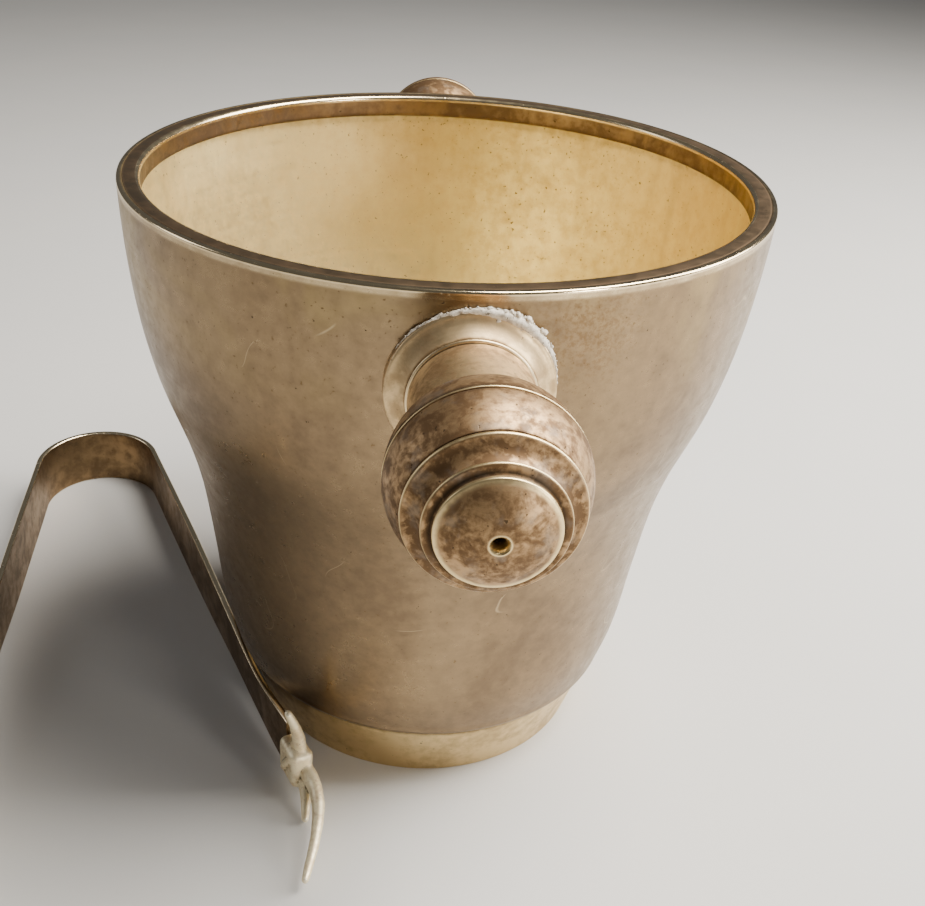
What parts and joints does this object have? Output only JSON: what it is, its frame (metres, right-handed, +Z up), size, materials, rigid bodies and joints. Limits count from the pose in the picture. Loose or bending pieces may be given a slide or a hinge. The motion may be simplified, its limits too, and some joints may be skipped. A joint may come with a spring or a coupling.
{
  "type": "ice bucket with tongs",
  "caption": "Footed, flared bucket for ice with turned knob handles on opposite sides, and springy claw-ended tongs lying beside it.",
  "frame": {"origin": "centre of the whole set's box, on the surface that it stands on; the bucket's own axis is about 25 mm towards +X from it", "axes": "+Z up through the mouth of the bucket, -Y towards the front handle, and the tongs lie on the -X side"},
  "size_m": [0.1898, 0.2318, 0.138],
  "materials": {
    "body_brass": "satin, aged brown outside and brighter inside",
    "rim_brass": "satin with worn bright edge",
    "foot_brass": "satin, golden",
    "rosette_brass": "satin with pale solder residue at its edge",
    "knob_brass": "dark brown patina with worn bright beads",
    "stud_brass": "machined",
    "strip_brass": "satin, brown patina with bright edges",
    "claw_brass": "cast, worn pale"
  },
  "bodies": {
    "bucket": {"bucket_body": "body_brass", "rim_ring": "rim_brass", "foot_ring": "foot_brass", "front_handle_rosette": "rosette_brass", "front_handle_knob": "knob_brass", "front_handle_stud": "stud_brass", "rear_handle_rosette": "rosette_brass", "rear_handle_knob": "knob_brass", "rear_handle_stud": "stud_brass"},
    "tongs": {"tongs_bow": "strip_brass"},
    "tongs_right": {"tongs_right_arm": "strip_brass", "tongs_right_claw": "claw_brass"},
    "tongs_left": {"tongs_left_arm": "strip_brass", "tongs_left_claw": "claw_brass"}
  },
  "joints": [
    {"name": "tongs_lift", "type": "slide", "parent": "bucket", "child": "tongs", "axis": [-0.6276, -0.1391, 0.766], "range_m": [0, 0.15]},
    {"name": "tongs_right_squeeze", "type": "hinge", "parent": "tongs", "child": "tongs_right", "pos_m": [-0.05603, 0.07295, 0.0089], "axis": [0, 0, -1], "range_deg": [0, 11], "stiffness_Nm_per_rad": 1},
    {"name": "tongs_left_squeeze", "type": "hinge", "parent": "tongs", "child": "tongs_left", "pos_m": [-0.09363, 0.06461, 0.0089], "axis": [0, 0, 1], "range_deg": [0, 11], "stiffness_Nm_per_rad": 1}
  ],
  "couplings": [
    {"joint": "tongs_left_squeeze", "follows": "tongs_right_squeeze", "ratio": 1}
  ]
}
